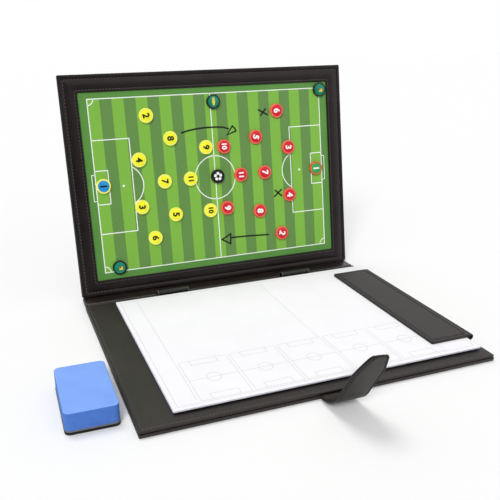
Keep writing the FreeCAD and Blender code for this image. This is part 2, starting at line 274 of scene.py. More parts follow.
caps = {
    "yellow": moulded_cap("moulded_yellow_cap", "#FAF85E", "#FFFC80"),
    "red": moulded_cap("moulded_red_cap", "#F05C46", "#F87258"),
    "orange": moulded_cap("moulded_orange_cap", "#D65A28", "#DE6A34"),
    "green": moulded_cap("moulded_dark_green_cap", "#08201A", "#0D2C24"),
    "black": moulded_cap("moulded_black_cap", "#121214", "#1B1B1E"),
}
discs = {
    "yellow": printed_disc("printed_yellow_disc", "#FAF71E", "#FEFC38"),
    "blue": printed_disc("printed_blue_disc", "#1C8CD2", "#2899E0"),
    "red": printed_disc("printed_red_disc", "#CE152A", "#DA1E34"),
    "green": printed_disc("printed_green_disc", "#2F9A47", "#3AA852"),
    "teal": printed_disc("printed_teal_disc", "#0C7A5C", "#12886A"),
    "black": printed_disc("printed_black_disc", "#0E0E10", "#17171A"),
}
white_ink = printed_ink("screen_ink_white", "#FAFDF6", "#FFFFFF")
black_ink = printed_ink("screen_ink_black", "#0E0E10", "#161618")
yellow_ink = printed_ink("screen_ink_yellow", "#E8D23A", "#EEDB4C")
red_ink = printed_ink("screen_ink_red", "#C8261E", "#D2332A")
grey_ink = printed_ink("offset_ink_pale_grey", "#CFD1D4", "#D8DADD")

# Dry-wipe marker: pigment that dries to a thin dark film on the glossy panel, uneven where the tip lifted.
marker_ink = surface("dry_wipe_marker", ("#040806", "#0A120C"), 3.0, (0.35, 0.5), noise, 0.8, 0.01)

# The pitch as printed, in mm on the cover: its middle, its half length and height, and its mown stripes
pitch_y = 121.65
pitch_half_length = 138.4
pitch_half_height = 93.65
stripe_count = 21
stripe = 2.0 * pitch_half_length / stripe_count


def printed_pitch():
    # Film printed with mown stripes and laminated to a thin plastic sheet, so that markers wipe off it.
    # The laminate gives an even soft gloss over the flat greens.
    made = surface("laminated_pitch_print", ("#568E3D", "#5A9441"), 30.0, (0.30, 0.38), noise, 1.2, 0.01)
    tree = made.node_tree
    shader = tree.nodes["Principled BSDF"]
    margin = shader.inputs["Base Color"].links[0].from_socket
    where = add_node(tree, "ShaderNodeTexCoord").outputs["Object"]
    laid = add_node(tree, "ShaderNodeMapping", {"vector_type": "TEXTURE"}, {
        "Vector": where,
        "Location": cover_fold * to_metres,
        "Rotation": (cover_lean, 0.0, 0.0),
        "Scale": (to_metres, to_metres, to_metres),
    })
    axes = add_node(tree, "ShaderNodeSeparateXYZ", {}, {"Vector": laid.outputs[0]})
    across = axes.outputs["X"]
    counted = add_node(tree, maths, {"operation": "MULTIPLY_ADD"}, {
        0: across, 1: 1.0 / stripe, 2: 0.5 * stripe_count
    })
    paired = add_node(tree, maths, {"operation": "FLOORED_MODULO"}, {0: counted.outputs[0], 1: 2.0})
    is_light = add_node(tree, maths, {"operation": "LESS_THAN"}, {0: paired.outputs[0], 1: 1.0})
    off_x = add_node(tree, maths, {"operation": "ABSOLUTE"}, {0: across})
    in_x = add_node(tree, maths, {"operation": "LESS_THAN"}, {0: off_x.outputs[0], 1: pitch_half_length})
    above = add_node(tree, maths, {"operation": "SUBTRACT"}, {0: axes.outputs["Y"], 1: pitch_y})
    off_y = add_node(tree, maths, {"operation": "ABSOLUTE"}, {0: above.outputs[0]})
    in_y = add_node(tree, maths, {"operation": "LESS_THAN"}, {0: off_y.outputs[0], 1: pitch_half_height})
    inside = add_node(tree, maths, {"operation": "MULTIPLY"}, {0: in_x.outputs[0], 1: in_y.outputs[0]})
    mown = add_node(tree, "ShaderNodeMix", {"data_type": "RGBA"}, {
        0: is_light.outputs[0], 6: lin("#649049"), 7: lin("#80BB45")
    })
    printed = add_node(tree, "ShaderNodeMix", {"data_type": "RGBA"}, {
        0: inside.outputs[0], 6: margin, 7: mown.outputs[2]
    })
    tree.links.new(printed.outputs[2], shader.inputs["Base Color"])
    return made


pitch_film = printed_pitch()


# Shapes, each a list of points in mm and a list of faces

def merge(shapes):
    # Several shapes as one.
    points = []
    faces = []
    for part_points, part_faces in shapes:
        start = len(points)
        points += part_points
        faces += [tuple(start + corner for corner in face) for face in part_faces]
    return points, faces


def arc(middle_x, middle_y, radius, start, end, steps=24):
    # Points along a circle, with angles in degrees.
    angles = [math.radians(start + (end - start) * step / steps) for step in range(steps + 1)]
    return [(middle_x + radius * math.cos(angle), middle_y + radius * math.sin(angle)) for angle in angles]


def circle(middle_x, middle_y, radius, steps):
    # Points round a whole circle.
    return arc(middle_x, middle_y, radius, 0.0, 360.0, steps)[:-1]


def rectangle(x0, x1, y0, y1, inset=0.0):
    # The corners of a rectangle drawn in by inset, anticlockwise.
    left = x0 + inset
    right = x1 - inset
    low = y0 + inset
    high = y1 - inset
    return [(left, low), (right, low), (right, high), (left, high)]


def ring(x0, x1, y0, y1, radius, z, steps=5):
    # A rounded rectangle at one height, anticlockwise.
    corners = (
        (x1 - radius, y1 - radius, 0.0), (x0 + radius, y1 - radius, 90.0),
        (x0 + radius, y0 + radius, 180.0), (x1 - radius, y0 + radius, 270.0),
    )
    points = []
    for middle_x, middle_y, start in corners:
        points += [(x, y, z) for x, y in arc(middle_x, middle_y, radius, start, start + 90.0, steps)]
    return points


def loft(rings, closed=False, capped=True):
    # Faces from ring to ring. A closed loft comes back to its first ring, and needs no caps.
    count = len(rings[0])
    points = [point for each in rings for point in each]
    faces = []
    for level in range(len(rings) if closed else len(rings) - 1):
        low = level * count
        high = (level + 1) % len(rings) * count
        for step in range(count):
            after = (step + 1) % count
            faces.append((low + step, low + after, high + after, high + step))
    if capped and not closed:
        last = (len(rings) - 1) * count
        faces.append(tuple(reversed(range(count))))
        faces.append(tuple(range(last, last + count)))
    return points, faces


def side_profile(low, high, under, over, steps=4):
    # Inset and height up the side of a panel, rounded under and over.
    turns = [math.radians(90.0 * step / steps) for step in range(steps + 1)]
    profile = [(under * (1.0 - math.sin(turn)), low + under * (1.0 - math.cos(turn))) for turn in turns]
    profile += [(over * (1.0 - math.cos(turn)), high - over * (1.0 - math.sin(turn))) for turn in turns]
    return profile


def seam(distance, high, depth=0.5, half=0.7, shoulder=1.2):
    # The channel that a row of stitches pulls into a padded face, and a narrow shoulder inside it.
    return [
        (distance - half, high), (distance, high - depth),
        (distance + half, high), (distance + half + shoulder, high),
    ]


def panel(x0, x1, y0, y1, corner, profile, least_corner=0.3):
    # A panel whose side follows a profile of insets and heights.
    rings = []
    for inset, z in profile:
        radius = max(corner - inset, least_corner)
        rings.append(ring(x0 + inset, x1 - inset, y0 + inset, y1 - inset, radius, z))
    return loft(rings)


def tube(outer, inner):
    # A wall between two lofts with open ends, joined at both ends.
    outer_points, outer_faces = loft(outer, capped=False)
    inner_points, inner_faces = loft(inner, capped=False)
    count = len(outer[0])
    start = len(outer_points)
    faces = outer_faces + [tuple(start + corner for corner in reversed(face)) for face in inner_faces]
    for first in (0, len(outer_points) - count):
        for step in range(count):
            after = (step + 1) % count
            faces.append((first + step, first + after, start + first + after, start + first + step))
    return outer_points + inner_points, faces


def stroke(path, width, z, closed=False):
    # A flat line of even width along points in a plane, mitred at its corners.
    count = len(path)
    points = []
    for index, (x, y) in enumerate(path):
        before = path[index - 1] if index > 0 or closed else path[0]
        after = path[(index + 1) % count] if index < count - 1 or closed else path[-1]
        into = Vector((x - before[0], y - before[1]))
        out = Vector((after[0] - x, after[1] - y))
        into = into.normalized() if into.length > 0.0 else out.normalized()
        out = out.normalized() if out.length > 0.0 else into
        along = (into + out).normalized()
        reach = 0.5 * width / max(0.5, along.dot(into))
        points.append((x - along.y * reach, y + along.x * reach, z))
        points.append((x + along.y * reach, y - along.x * reach, z))
    faces = []
    for index in range(count if closed else count - 1):
        after = (index + 1) % count
        faces.append((2 * index, 2 * index + 1, 2 * after + 1, 2 * after))
    return points, faces


def patch(outline, z):
    # A flat filled outline.
    return [(x, y, z) for x, y in outline], [tuple(range(len(outline)))]


def turned(shape, degrees, x, y, z):
    # A flat shape turned about the origin and moved to a place.
    place = Matrix.Translation((x, y, z)) @ Matrix.Rotation(math.radians(degrees), 4, "Z")
    return [tuple(place @ Vector(point)) for point in shape[0]], shape[1]


def stitches(rows, pitch=3.0, length=2.1, radius=0.36, sides=6):
    # Sewn thread as short beads along rows of points, each with the direction it stands up in.
    # A bead is full over its middle and comes to a point at each end.
    half_full = 0.28 * length
    points = []
    faces = []
    for row in rows:
        for (start, up), (end, up_after) in zip(row, row[1:]):
            run = end - start
            along = run.normalized()
            count = max(1, round(run.length / pitch))
            for index in range(count):
                share = (index + 0.5) / count
                middle = start.lerp(end, share)
                rise = up.lerp(up_after, share).normalized()
                side = along.cross(rise)
                first = len(points)
                last = first + 2 * sides + 1
                points.append(middle - along * (0.5 * length))
                for place in (-half_full, half_full):
                    for turn in range(sides):
                        angle = math.radians(360.0 / sides * turn)
                        reach = side * math.cos(angle) + rise * math.sin(angle)
                        points.append(middle + along * place + reach * radius)
                points.append(middle + along * (0.5 * length))
                for turn in range(sides):
                    here = first + 1 + turn
                    after = first + 1 + (turn + 1) % sides
                    faces.append((first, after, here))
                    faces.append((here, after, after + sides, here + sides))
                    faces.append((here + sides, after + sides, last))
    return points, faces


def stitch_path(path, z):
    # A closed row of stitches on a level face, round a list of plan points.
    up = Vector((0.0, 0.0, 1.0))
    return [(Vector((x, y, z)), up) for x, y in path + path[:1]]


crease_angle = math.radians(38.0)


def make_piece(name, shape, finish, body, place=on_table, solid=True, stands_for=()):
    # A mesh piece on a body, or on none where it spans a joint.
    # finish is one material, or a list of materials with an index for each face.
    points, faces = shape
    mesh = bpy.data.meshes.new(name)
    mesh.from_pydata([(place @ Vector(point)) * to_metres for point in points], [], faces)
    if solid:
        work = bmesh.new()
        work.from_mesh(mesh)
        bmesh.ops.recalc_face_normals(work, faces=work.faces)
        work.to_mesh(mesh)
        work.free()
    materials, indices = finish if isinstance(finish, tuple) else ([finish], None)
    for material in materials:
        mesh.materials.append(material)
    if indices:
        mesh.polygons.foreach_set("material_index", indices)
    mesh.shade_smooth()
    mesh.set_sharp_from_angle(angle=crease_angle)
    piece = add_object(name, mesh)
    if body:
        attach(piece, body)
    if stands_for:
        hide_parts(*stands_for)
    return piece


# Base: a leatherette-wrapped board with a padded lining sewn on it
skin_low, skin_high = box_mm("base_outer_skin")
lining_low, lining_high = box_mm("base_lining")
wrap_top = skin_high.z
lining_top = lining_high.z
fold_room = 3.3
base_back = base_fold.y - fold_room
board_corner = 1.4
wrap_profile = side_profile(0.0, wrap_top, 0.6, 0.4)
pad_profile = side_profile(wrap_top, lining_top, 1.3, 0.6)
base_shape = panel(skin_low.x, skin_high.x, skin_low.y, base_back, board_corner, wrap_profile)
make_piece("base_wrap", base_shape, drawn_lit_leatherette, "base", stands_for=["base_outer_skin"])
base_seam_inset = 2.3
lining_profile = pad_profile + seam(base_seam_inset, lining_top)
lining_shape = panel(lining_low.x, lining_high.x, lining_low.y, base_back, board_corner, lining_profile)
lining = make_piece(
    "base_lining_pad", lining_shape, level_faces_lit_leatherette, "base", stands_for=["base_lining"]
)
base_seam = rectangle(lining_low.x, lining_high.x, lining_low.y, base_back, base_seam_inset)
stitch_z = lining_top - 0.2
# These stitches take the thread's painted grey glint.
make_piece("base_stitches", stitches([stitch_path(base_seam, stitch_z)]), thread, "base")

# Spine: a leatherette tube on a thin board, rounded along both folds and sunk a little between them
spine_low = box_mm("spine_skin")[0]
spine_flat = 3.0
spine_sunk = 0.35


def spine_section(x, shrink):
    # The spine's outline across its length, drawn in by shrink at its ends.
    radius = base_fold.z - shrink
    middle = 0.5 * (base_fold.y + cover_fold.y)
    outline = arc(cover_fold.y, base_fold.z, radius, -90.0, 90.0, 12)
    outline += [(middle + side * spine_flat, base_fold.z + radius - spine_sunk) for side in (1.0, -1.0)]
    outline += arc(base_fold.y, base_fold.z, radius, 90.0, 270.0, 12)
    return [(x, y, z) for y, z in outline]


spine_ends = [(spine_low.x, 0.8), (spine_low.x + 0.25, 0.35), (spine_low.x + 0.8, 0.0)]
spine_sections = [spine_section(x, shrink) for x, shrink in spine_ends]
spine_sections += [spine_section(-x, shrink) for x, shrink in reversed(spine_ends)]
make_piece(
    "spine_wrap", loft(spine_sections), drawn_lit_leatherette, "spine", stands_for=["spine_skin"]
)

# Cover: a wrapped board, and a padded frame round the window that holds the panel down
half_width = 0.5 * (skin_high.x - skin_low.x)
half_lining = 0.5 * (lining_high.x - lining_low.x)
cover_height = 241.0
cover_seam_inset = 5.0
back_seam_depth = 0.3
back_seam = [(inset, -z) for inset, z in reversed(seam(cover_seam_inset, 0.0, back_seam_depth))]
cover_profile = back_seam + wrap_profile
cover_shape = panel(-half_width, half_width, fold_room, cover_height, board_corner, cover_profile)
make_piece(
    "cover_wrap", cover_shape, leatherette, "cover", on_cover, stands_for=["cover_outer_skin"]
)
window_half = 148.0
window_low = 20.2
window_high = 222.2
window_corner = 1.25
window_seam_outset = 2.6
window_seam_depth = 0.25
window_lip = ((0.6, 0.0), (0.2, 0.15), (0.0, 0.5))
panel_face = 4.2
panel_gap = 0.05
panel_rabbet = 5.3
frame_top = cover_height - (half_width - half_lining)
frame_corner = 1.6
swell_z = lining_top + 0.2
swell_inset = 7.5
swell_outset = 6.5


def frame_edge(inset, z):
    # A ring inside the frame's outer edge.
    return ring(
        -half_lining + inset, half_lining - inset, fold_room + inset, frame_top - inset, frame_corner, z
    )


def window_edge(outset, z):
    # A ring outside the window.
    return ring(
        -window_half - outset, window_half + outset, window_low - outset, window_high + outset,
        window_corner + outset, z
    )


# Up the outer edge, over the swell between two sewn channels, down into the window and out under the frame
frame_rings = [frame_edge(inset, z) for inset, z in pad_profile + seam(cover_seam_inset, lining_top)]
frame_rings += [frame_edge(swell_inset, swell_z), window_edge(swell_outset, swell_z)]
window_seam = seam(window_seam_outset, lining_top, window_seam_depth)
frame_rings += [window_edge(outset, z) for outset, z in reversed(window_seam)]
frame_rings += [window_edge(outset, lining_top - drop) for outset, drop in window_lip]
frame_rings += [window_edge(outset, panel_face + panel_gap) for outset in (0.0, panel_rabbet)]
frame_rings += [window_edge(panel_rabbet, wrap_top)]
window_pad = make_piece(
    "window_frame_pad", loft(frame_rings, closed=True), leatherette, "cover", on_cover,
    stands_for=["window_frame"]
)
front_rows = [
    stitch_path(rectangle(-half_lining, half_lining, fold_room, frame_top, cover_seam_inset), stitch_z),
    stitch_path(rectangle(-window_half, window_half, window_low, window_high, -window_seam_outset), stitch_z),
]
back_seam_path = rectangle(-half_width, half_width, fold_room, cover_height, cover_seam_inset)
back_rows = [stitch_path(back_seam_path, 0.1)]
# Both rows of stitches take the thread's painted grey glint.
for name, rows, radius in (("cover_stitches", front_rows, 0.42), ("cover_back_stitches", back_rows, 0.36)):
    beads = stitches(rows, pitch=3.6, length=2.2, radius=radius)
    make_piece(name, beads, thread, "cover", on_cover)

# Pitch lines printed on the panel
line_width = 1.0
goal_line_width = 0.75
print_z = panel_face + 0.02
pitch_low = pitch_y - pitch_half_height
pitch_high = pitch_y + pitch_half_height
pitch_edge = rectangle(-pitch_half_length, pitch_half_length, pitch_low, pitch_high)
centre_radius = 24.5
corner_radius = 6.5
spot_x = 108.0
spot_radius = 1.3
area_arc_radius = 22.7
area_arc_half = 61.0

# Depth, half height and line of the penalty area, the goal area and the goal
areas = ((41.4, 50.6, line_width), (14.4, 18.15, line_width), (-3.6, 14.15, goal_line_width))

# At each end of the pitch, where its spot's arc faces and where its low and high corner arcs start
ends = ((-1.0, 0.0, (0.0, 270.0)), (1.0, 180.0, (90.0, 180.0)))
lines = [
    stroke(pitch_edge, line_width, print_z, True),
    stroke([(0.0, pitch_low), (0.0, pitch_high)], line_width, print_z),
    stroke(circle(0.0, pitch_y, centre_radius, 72), line_width, print_z, True),
]
for side, facing, corner_starts in ends:
    goal_line = side * pitch_half_length
    for depth, half, width in areas:
        reach = goal_line - side * depth
        box_line = [
            (goal_line, pitch_y - half), (reach, pitch_y - half),
            (reach, pitch_y + half), (goal_line, pitch_y + half),
        ]
        lines.append(stroke(box_line, width, print_z))
    lines.append(patch(circle(side * spot_x, pitch_y, spot_radius, 20), print_z))
    area_arc = arc(side * spot_x, pitch_y, area_arc_radius, facing - area_arc_half, facing + area_arc_half)
    lines.append(stroke(area_arc, line_width, print_z))
    for edge, start in zip((pitch_low, pitch_high), corner_starts):
        corner_arc = arc(goal_line, edge, corner_radius, start, start + 90.0, 10)
        lines.append(stroke(corner_arc, line_width, print_z))
make_piece("pitch_lines", merge(lines), white_ink, "cover", on_cover, solid=False)

# A move drawn on the panel: two arrows and two crosses, each path with whether it is closed
mark_width = 1.9
mark_z = panel_face + 0.04
curved = [
    (-37.2, 174.0), (-28.0, 176.1), (-18.5, 177.4), (-8.5, 178.0), (3.0, 178.0), (13.5, 177.2), (20.7, 174.9),
]
curved_head = [(24.9, 177.9), (28.2, 174.6), (29.0, 172.0), (18.1, 168.3)]
straight = [(63.2, 47.8), (38.0, 49.2), (13.6, 49.9)]
straight_head = [(2.6, 48.8), (13.9, 54.3), (13.1, 42.7)]
marker_paths = [
    (curved, False), (curved_head, True), (straight, False), (straight_head, True),
    ([(58.1, 194.5), (70.4, 187.6)], False), ([(68.4, 195.2), (61.0, 187.2)], False),
    ([(74.1, 100.2), (83.3, 92.0)], False), ([(83.4, 100.4), (72.8, 92.0)], False),
]
marker_lines = [stroke(path, mark_width, mark_z, closed) for path, closed in marker_paths]
make_piece("marker_strokes", merge(marker_lines), marker_ink, "cover", on_cover, solid=False)

# Tokens: each cap carries a printed disc in its recess, with its number turned to the right
disc_floor = 7.0
disc_top = 7.16
disc_radius = 6.3
disc_rings = ((disc_radius, disc_floor), (disc_radius, disc_top - 0.05), (disc_radius - 0.1, disc_top))
ink_step = 0.02
digit_heights = {1: 7.4, 2: 5.8}
digit_inks = {"yellow": black_ink, "red": white_ink}
keepers = {"yellow_1": (caps["yellow"], discs["blue"]), "red_1": (caps["orange"], discs["green"])}
number_turn = -90.0
number_tilts = {"red_2": -20.0, "red_5": -15.0, "red_8": -6.0, "yellow_2": 8.0, "red_6": 6.0}
ball_radius = 4.9


def digits(text, height, bolder=0.3, copy_step=0.003):
    # Flat digits centred on the origin, made bold by five copies, each moved a little and laid on the last.
    curve = bpy.data.curves.new("digits", "FONT")
    curve.body = text
    curve.offset = 0.015
    holder = add_object("digits", curve)
    bpy.context.view_layer.update()
    mesh = bpy.data.meshes.new_from_object(holder)
    corners = [vertex.co.copy() for vertex in mesh.vertices]
    faces = [tuple(polygon.vertices) for polygon in mesh.polygons]
    bpy.data.objects.remove(holder)
    bpy.data.meshes.remove(mesh)
    bpy.data.curves.remove(curve)
    x0 = min(corner.x for corner in corners)
    x1 = max(corner.x for corner in corners)
    y0 = min(corner.y for corner in corners)
    y1 = max(corner.y for corner in corners)
    middle_x = 0.5 * (x0 + x1)
    middle_y = 0.5 * (y0 + y1)
    size = height / (y1 - y0)
    points = [((corner.x - middle_x) * size, (corner.y - middle_y) * size, 0.0) for corner in corners]
    moves = ((0.0, 0.0), (bolder, 0.0), (-bolder, 0.0), (0.0, bolder), (0.0, -bolder))
    copies = [turned((points, faces), 0.0, x, y, copy_step * level) for level, (x, y) in enumerate(moves)]
    return merge(copies)


def football_patches(z):
    # The dark patches and seams of a football: one five-sided patch and five cut off by the rim.
    rim = ball_radius + 0.2
    seam_width = 0.6
    shapes = [patch(arc(0.0, 0.0, 2.2, -90.0, 270.0, 5)[:-1], z)]
    for turn in (-90.0, -18.0, 54.0, 126.0, 198.0):
        start, tip = [arc(0.0, 0.0, reach, turn, turn, 1)[0] for reach in (1.9, 3.3)]
        shapes.append(stroke([start, tip], seam_width, z))
        shapes.append(patch(arc(0.0, 0.0, rim, turn - 20.0, turn + 20.0, 6) + [tip], z))
    return merge(shapes)


def figure_mark():
    # A plain upright mark: a round top over a tapered body.
    body = [(-1.1, -4.0), (1.1, -4.0), (1.9, 1.2), (-1.9, 1.2)]
    return merge([patch(circle(0.0, 2.9, 1.5, 16), 0.0), patch(body, 0.0)])


def flag_mark(width, low, z):
    # A flag, or its first quarter, drawn from its top corner at the pole.
    return patch(rectangle(-0.8, -0.8 + width, low, 0.8), z)


for token in tokens:
    token_low, token_high = box_mm(token)
    middle = on_cover.inverted() @ (0.5 * (token_low + token_high))
    label = token[len("token_"):]
    kind, _, number = label.rpartition("_")
    cap = caps["green"]
    disc = discs["teal"]
    turn = 0.0
    marks = [(figure_mark(), yellow_ink)]
    if kind == "linesman":
        marks = [(flag_mark(4.0, -2.6, 0.0), yellow_ink), (flag_mark(2.0, -0.9, ink_step), red_ink)]
    if kind in digit_inks:
        cap, disc = keepers.get(label, (caps[kind], discs[kind]))
        turn = number_turn + number_tilts.get(label, 0.0)
        marks = [(digits(number, digit_heights[len(number)]), digit_inks[kind])]
    if label == "ball":
        cap = caps["black"]
        disc = discs["black"]
        white_ball = patch(circle(0.0, 0.0, ball_radius, 40), 0.0)
        marks = [(white_ball, white_ink), (football_patches(ink_step), black_ink)]
    nodes[token].data.materials.clear()
    nodes[token].data.materials.append(cap)
    rings = []
    for radius, z in disc_rings:
        rings.append([(x, y, z) for x, y in circle(middle.x, middle.y, radius, 40)])
    parts = [loft(rings)]
    for mark, ink in marks:
        parts.append(turned(mark, turn, middle.x, middle.y, disc_top + ink_step))
    indices = []
    for index, part in enumerate(parts):
        indices += [index] * len(part[1])
    finish = ([disc] + [ink for mark, ink in marks], indices)
    make_piece("label_" + label, merge(parts), finish, token, on_cover, solid=False)

# Pad: a stack of sheets with slightly uneven edges, which slopes back under its front, on a card painted
# black as shadow
sheets_low, sheets_high = box_mm("notepad_sheets")
sheet_layers = 12
sloped_layers = 5
slope_back = 2.4
layer_height = (sheets_high.z - sheets_low.z) / sheet_layers
stack_rings = []
for index in range(sheet_layers):
    inset = 0.05 + 0.16 * abs(math.sin(2.3 * index))
    left = sheets_low.x + inset
    right = sheets_high.x - inset
    front = sheets_low.y + inset + slope_back * max(0.0, 1.0 - index / sloped_layers)
    back = sheets_high.y - inset
    for share in (0.04, 0.9):
        z = sheets_low.z + layer_height * (index + share)
        stack_rings.append(ring(left, right, front, back, 0.4, z, 2))
stack_shape = loft(stack_rings)
stack_indices = [1] * (len(stack_shape[1]) - 1) + [0]
make_piece(
    "pad_sheets", stack_shape, ([paper, paper_edges], stack_indices), "notepad",
    stands_for=["notepad_sheets"]
)
# The card's black is painted shadow under the sheets' edges.
card_low, card_high = box_mm("notepad_backing")
card_back = 2.6
card_shape = panel(
    card_low.x + card_back, card_high.x - card_back, card_low.y + card_back, card_high.y - card_back, 1.0,
    side_profile(card_low.z, card_high.z, 0.15, 0.15)
)
make_piece("shadow_black_card", card_shape, shadow_black_card, "notepad", stands_for=["notepad_backing"])

# The top sheet's faint print: a border, two rules and a row of five small pitches
rule_width = 0.45
sheet_z = sheets_high.z + 0.01
border = 4.5
left_rule = -113.5
middle_rule = 30.0
small_first = -110.5
small_step = 48.2
small_length = 45.0
small_low = -99.5
small_high = -38.5
small_middle = 0.5 * (small_low + small_high)
small_circle = 6.5
small_area_half = 12.5
small_area_depth = 7.5
sheet_border = rectangle(sheets_low.x, sheets_high.x, sheets_low.y, sheets_high.y, border)
pad_lines = [
    stroke(sheet_border, rule_width, sheet_z, True),
    stroke([(left_rule, 97.0), (left_rule, -97.0)], rule_width, sheet_z),
    stroke([(middle_rule, 93.0), (middle_rule, -40.0)], rule_width, sheet_z),
]
for index in range(5):
    x0 = small_first + small_step * index
    x1 = x0 + small_length
    middle_x = 0.5 * (x0 + x1)
    pad_lines.append(stroke(rectangle(x0, x1, small_low, small_high), rule_width, sheet_z, True))
    pad_lines.append(stroke([(x0, small_middle), (x1, small_middle)], rule_width, sheet_z))
    pad_lines.append(stroke(circle(middle_x, small_middle, small_circle, 36), rule_width, sheet_z, True))
    for edge, way in ((small_low, 1.0), (small_high, -1.0)):
        inner = edge + way * small_area_depth
        area = [
            (middle_x - small_area_half, edge), (middle_x - small_area_half, inner),
            (middle_x + small_area_half, inner), (middle_x + small_area_half, edge),
        ]
        pad_lines.append(stroke(area, rule_width, sheet_z))
make_piece("pad_print", merge(pad_lines), grey_ink, "notepad", solid=False)

# Pen loops: bands of elastic sewn down behind the pad, open at both ends
loop_wall = 0.6


def loop_section(low, high, x, grow):
    # A band's outline at one place along it, or its inside where grow is negative.
    middle = 0.5 * (low.y + high.y)
    half = 0.5 * (high.y - low.y)
    foot = low.z - min(grow, 0.0)
    outline = [(middle + (half + grow) * share, foot) for share in (-1.0, -0.5, 0.0, 0.5, 1.0)]
    outline += arc(middle, high.z - half, half + grow, 0.0, 180.0, 14)
    return [(x, y, z) for y, z in outline]


for loop_name in ("pen_loop_left", "pen_loop_right"):
    loop_low, loop_high = box_mm(loop_name)
    stations = [(loop_low.x, 0.0), (loop_low.x + 0.4, 0.15), (loop_low.x + 0.9, 0.0)]
    stations += [(loop_high.x - 0.9, 0.0), (loop_high.x - 0.4, 0.15), (loop_high.x, 0.0)]
    outer = [loop_section(loop_low, loop_high, x, grow) for x, grow in stations]
    inner = [loop_section(loop_low, loop_high, x, -loop_wall) for x, grow in stations]
    around = len(outer[0])
    # The rims at both open ends take the painted highlight.
    rim = [1] * (2 * around)
    finish = ([elastic, rim_highlight_elastic], rim + [0] * around + rim + [0] * (5 * around) + rim)
    make_piece(loop_name + "_band", tube(outer, inner), finish, "base", stands_for=[loop_name])

# Clip flap: a stiffened plate sewn round its edge, hanging from a rolled leatherette hinge
flap_low, flap_high = box_mm("clip_flap_skin")
roll_axis = joint_point("clip_flap")
roll_radius = flap_high.z - roll_axis.z - 0.1
roll_bore = 1.7
flap_right = roll_axis.x - 2.2
flap_corner = 1.6
flap_seam_inset = 3.0
flap_profile = side_profile(flap_low.z, flap_high.z, 0.4, 0.5)
flap_profile += seam(flap_seam_inset, flap_high.z, depth=0.65, half=0.9)
flap_shape = panel(flap_low.x, flap_right, flap_low.y, flap_high.y, flap_corner, flap_profile)
roll_outer = []
roll_inner = []
for y, shrink in ((flap_low.y, 0.3), (flap_low.y + 0.5, 0.0), (flap_high.y - 0.5, 0.0), (flap_high.y, 0.3)):
    for rings, radius in ((roll_outer, roll_radius - shrink), (roll_inner, roll_bore)):
        rings.append([(x, y, z) for x, z in circle(roll_axis.x, roll_axis.z, radius, 28)])
flap_pieces = merge([flap_shape, tube(roll_outer, roll_inner)])
make_piece(
    "clip_flap", flap_pieces, level_faces_lit_leatherette, "clip",
    stands_for=["clip_flap_skin", "clip_roll"]
)
flap_seam = rectangle(flap_low.x, flap_right, flap_low.y, flap_high.y, flap_seam_inset)
flap_beads = stitches([stitch_path(flap_seam, flap_high.z - 0.25)])
make_piece("clip_stitches", flap_beads, black_thread, "clip")

# Strap: one sewn strip that leaves the front seam, curls up and stands, with a tapered and slanted tip
bead = joint_point("strap_swing")
bend = joint_point("strap_bend")
strap_low, strap_high = box_mm("strap_root")
strap_x = 0.5 * (strap_low.x + strap_high.x)
half_strap = 0.5 * (strap_high.x - strap_low.x)
half_thick = 1.2
curl_radius = 27.0
curl_steps = 18
rise = math.radians(63.0)
rise_along = Vector((0.0, -math.cos(rise), math.sin(rise)))
tongue_length = 53.0
taper = 23.0
half_tip = 7.75
tip_radius = 3.0
tip_slant = 2.4
tip_lean = 2.0
narrow_half = 7.0
channel_inset = 2.1
channel_stitch = 0.62 * half_thick

# Half the strap across: inset from its edge, and share of its half thickness
half_across = (
    (0.0, 0.0), (0.2, 0.6), (0.7, 0.95), (1.2, 0.95), (channel_inset, 0.35), (3.0, 0.95), (4.6, 1.0)
)


def tongue_half_width(distance):
    # Half the tongue's width at a distance from the bend.
    to_tip = tongue_length - distance
    narrowed = max(0.0, 1.0 - to_tip / taper)
    half = half_strap - (half_strap - half_tip) * narrowed ** 1.25
    if to_tip < tip_radius:
        half += -tip_radius + math.sqrt(max(0.0, tip_radius ** 2 - (tip_radius - to_tip) ** 2))
    return half


# Stations along the strap: middle, direction, half width, half thickness and slant of the tip
forward = Vector((0.0, -1.0, 0.0))
strap_line = [
    (bead - forward * 1.15, forward, half_strap, 0.25, 0.0),
    (bead - forward * 0.8, forward, half_strap, 0.85, 0.0),
]
for step in range(curl_steps + 1):
    turn = rise * step / curl_steps
    along = Vector((0.0, -math.cos(turn), math.sin(turn)))
    middle = bead + Vector((0.0, -curl_radius * math.sin(turn), curl_radius * (1.0 - math.cos(turn))))
    strap_line.append((middle, along, half_strap, half_thick, 0.0))
tongue_stops = [(2.0 * step, half_thick) for step in range(25)]
tongue_stops += [(49.6, half_thick), (50.6, 1.15), (51.4, 1.1), (52.2, 1.0), (52.7, 0.8), (52.97, 0.35)]
for distance, thick in tongue_stops:
    slant = tip_slant * (distance / tongue_length) ** 2
    strap_line.append((bend + rise_along * distance, rise_along, tongue_half_width(distance), thick, slant))


def strap_point(station, x, out):
    # A place on the strap, x from its middle line and moved by out, with the slant of the tip.
    middle, along, slant = station[0], station[1], station[4]
    point = middle + out - along * (slant * x / half_strap)
    return Vector((strap_x + x + slant * tip_lean / tip_slant, point.y, point.z))


def strap_out(station):
    # The way that the strap's upper face looks.
    along = station[1]
    return Vector((0.0, -along.z, along.y))


def strap_section(station):
    # The strap's outline across: thin turned edges, a sewn channel near each, and a full middle.
    half = station[2]
    thick = station[3]
    squeeze = min(1.0, half / narrow_half)
    face = [(-half + inset * squeeze, share * thick) for inset, share in half_across]
    face += [(-x, z) for x, z in reversed(face)]
    outline = face + [(x, -z) for x, z in reversed(face[1:-1])]
    return [tuple(strap_point(station, x, strap_out(station) * z)) for x, z in outline]


def strap_stitch(station, edge, face_side):
    # A place in the sewn channel on one face, near one edge, and the way that face looks.
    out = strap_out(station) * face_side
    x = edge * (station[2] - channel_inset)
    return strap_point(station, x, out * channel_stitch), out


